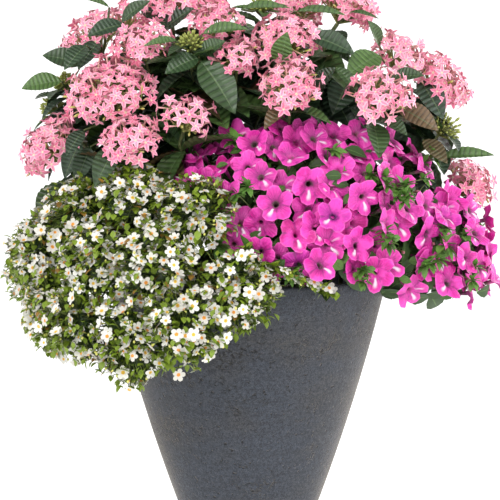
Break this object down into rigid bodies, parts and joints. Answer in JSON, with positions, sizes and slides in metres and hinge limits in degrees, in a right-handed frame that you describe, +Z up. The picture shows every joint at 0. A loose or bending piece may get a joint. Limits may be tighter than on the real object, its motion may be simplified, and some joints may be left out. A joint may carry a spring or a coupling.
{
  "type": "potted petunia",
  "caption": "Tall tapered pot filled with bedding plants in full bloom: trailing petunias on one side, hanging bacopa on the other, and domed pentas heads above.",
  "frame": {"origin": "centre of the pot's flat underside, where the pot's upright axis meets the surface it stands on", "axes": "+Z up along the pot's axis, +X to the right of a viewer facing the planting's front, -Y towards that viewer"},
  "size_m": [0.6143, 0.4773, 0.7238],
  "materials": {
    "pot": "matte",
    "soil": "matte",
    "pentas_flowers": "matte",
    "pentas_foliage": "satin",
    "petunia_blooms": "matte",
    "petunia_foliage": "matte",
    "bacopa": "matte"
  },
  "bodies": {
    "root": {"bacopa_spray_1": "bacopa", "bacopa_spray_2": "bacopa", "bacopa_spray_3": "bacopa", "bacopa_spray_4": "bacopa", "bacopa_spray_5": "bacopa", "bacopa_spray_6": "bacopa", "bacopa_spray_7": "bacopa", "pentas_head_back_far_left": "pentas_flowers", "pentas_head_back_left": "pentas_flowers", "pentas_head_back_middle": "pentas_flowers", "pentas_head_back_right": "pentas_flowers", "pentas_head_crown_back": "pentas_flowers", "pentas_head_crown_left": "pentas_flowers", "pentas_head_crown_middle": "pentas_flowers", "pentas_head_crown_right": "pentas_flowers", "pentas_head_far_left": "pentas_flowers", "pentas_head_far_right": "pentas_flowers", "pentas_head_high_left": "pentas_flowers", "pentas_head_left_front": "pentas_flowers", "pentas_head_left_large": "pentas_flowers", "pentas_head_loose_front": "pentas_flowers", "pentas_head_low_middle": "pentas_flowers", "pentas_head_low_right": "pentas_flowers", "pentas_head_middle_front": "pentas_flowers", "pentas_head_right_large": "pentas_flowers", "pentas_head_right_upper": "pentas_flowers", "pentas_head_top_left": "pentas_flowers", "pentas_head_top_right": "pentas_flowers", "pentas_head_upper_left": "pentas_flowers", "pentas_head_upper_middle": "pentas_flowers", "pentas_stem_1": "pentas_foliage", "pentas_stem_2": "pentas_foliage", "pentas_stem_3": "pentas_foliage", "pentas_stem_4": "pentas_foliage", "pentas_stem_5": "pentas_foliage", "pentas_stem_6": "pentas_foliage", "pentas_stem_7": "pentas_foliage", "pentas_stem_8": "pentas_foliage", "pentas_stem_9": "pentas_foliage", "petunia_blooms_1": "petunia_blooms", "petunia_blooms_10": "petunia_blooms", "petunia_blooms_11": "petunia_blooms", "petunia_blooms_2": "petunia_blooms", "petunia_blooms_3": "petunia_blooms", "petunia_blooms_4": "petunia_blooms", "petunia_blooms_5": "petunia_blooms", "petunia_blooms_6": "petunia_blooms", "petunia_blooms_7": "petunia_blooms", "petunia_blooms_8": "petunia_blooms", "petunia_blooms_9": "petunia_blooms", "petunia_stem_1": "petunia_foliage", "petunia_stem_2": "petunia_foliage", "pot": "pot", "soil": "soil"}
  },
  "joints": []
}
